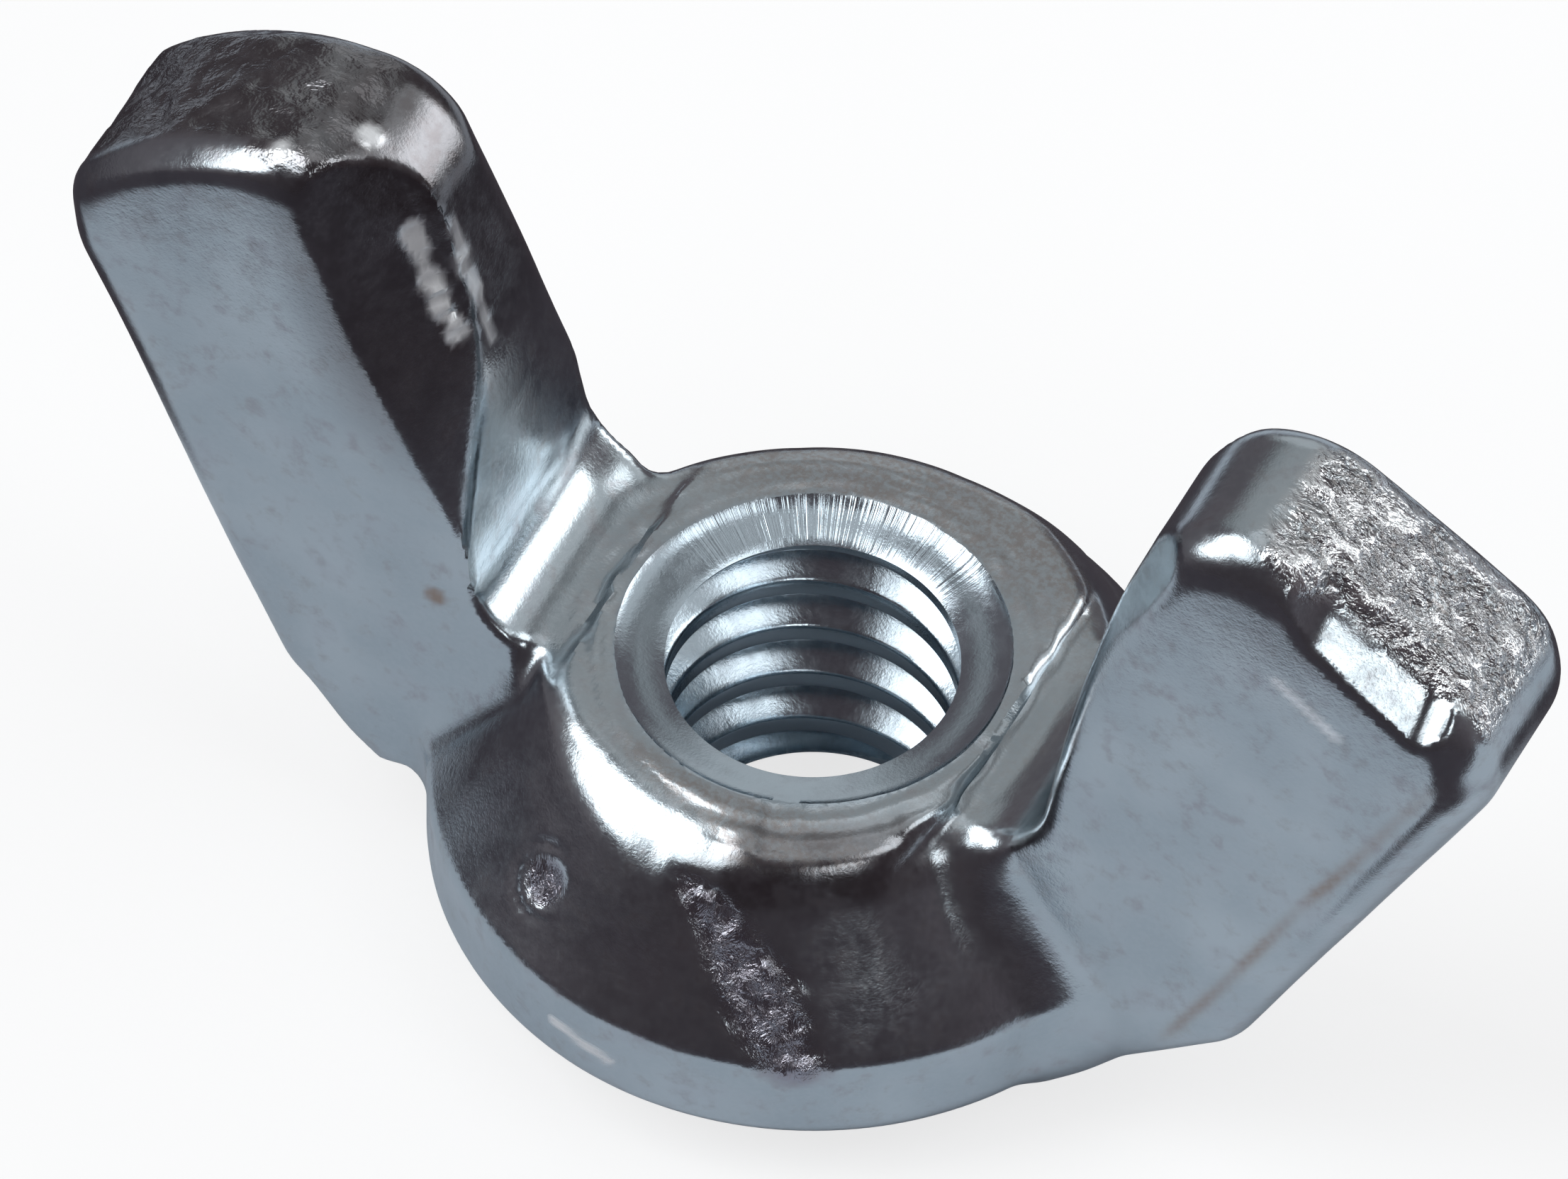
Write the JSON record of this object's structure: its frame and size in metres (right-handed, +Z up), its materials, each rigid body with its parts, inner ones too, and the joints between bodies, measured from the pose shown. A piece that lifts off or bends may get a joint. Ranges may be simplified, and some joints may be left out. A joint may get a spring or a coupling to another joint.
{
  "type": "wing nut",
  "caption": "Forged wing nut: a round tapered boss with a threaded through bore, and flat upright wings that lean outwards on opposite sides.",
  "frame": {"origin": "centre of the bore on the bearing face", "axes": "+Z up the bore from the bearing face towards the wing tips; the wings spread along X; Y is across the wings' faces"},
  "size_m": [0.0274, 0.0134, 0.0162],
  "materials": {
    "zinc_plated_steel": "satin bright zinc plate on forged steel"
  },
  "bodies": {
    "root": {"wing_nut": "zinc_plated_steel"}
  },
  "joints": []
}
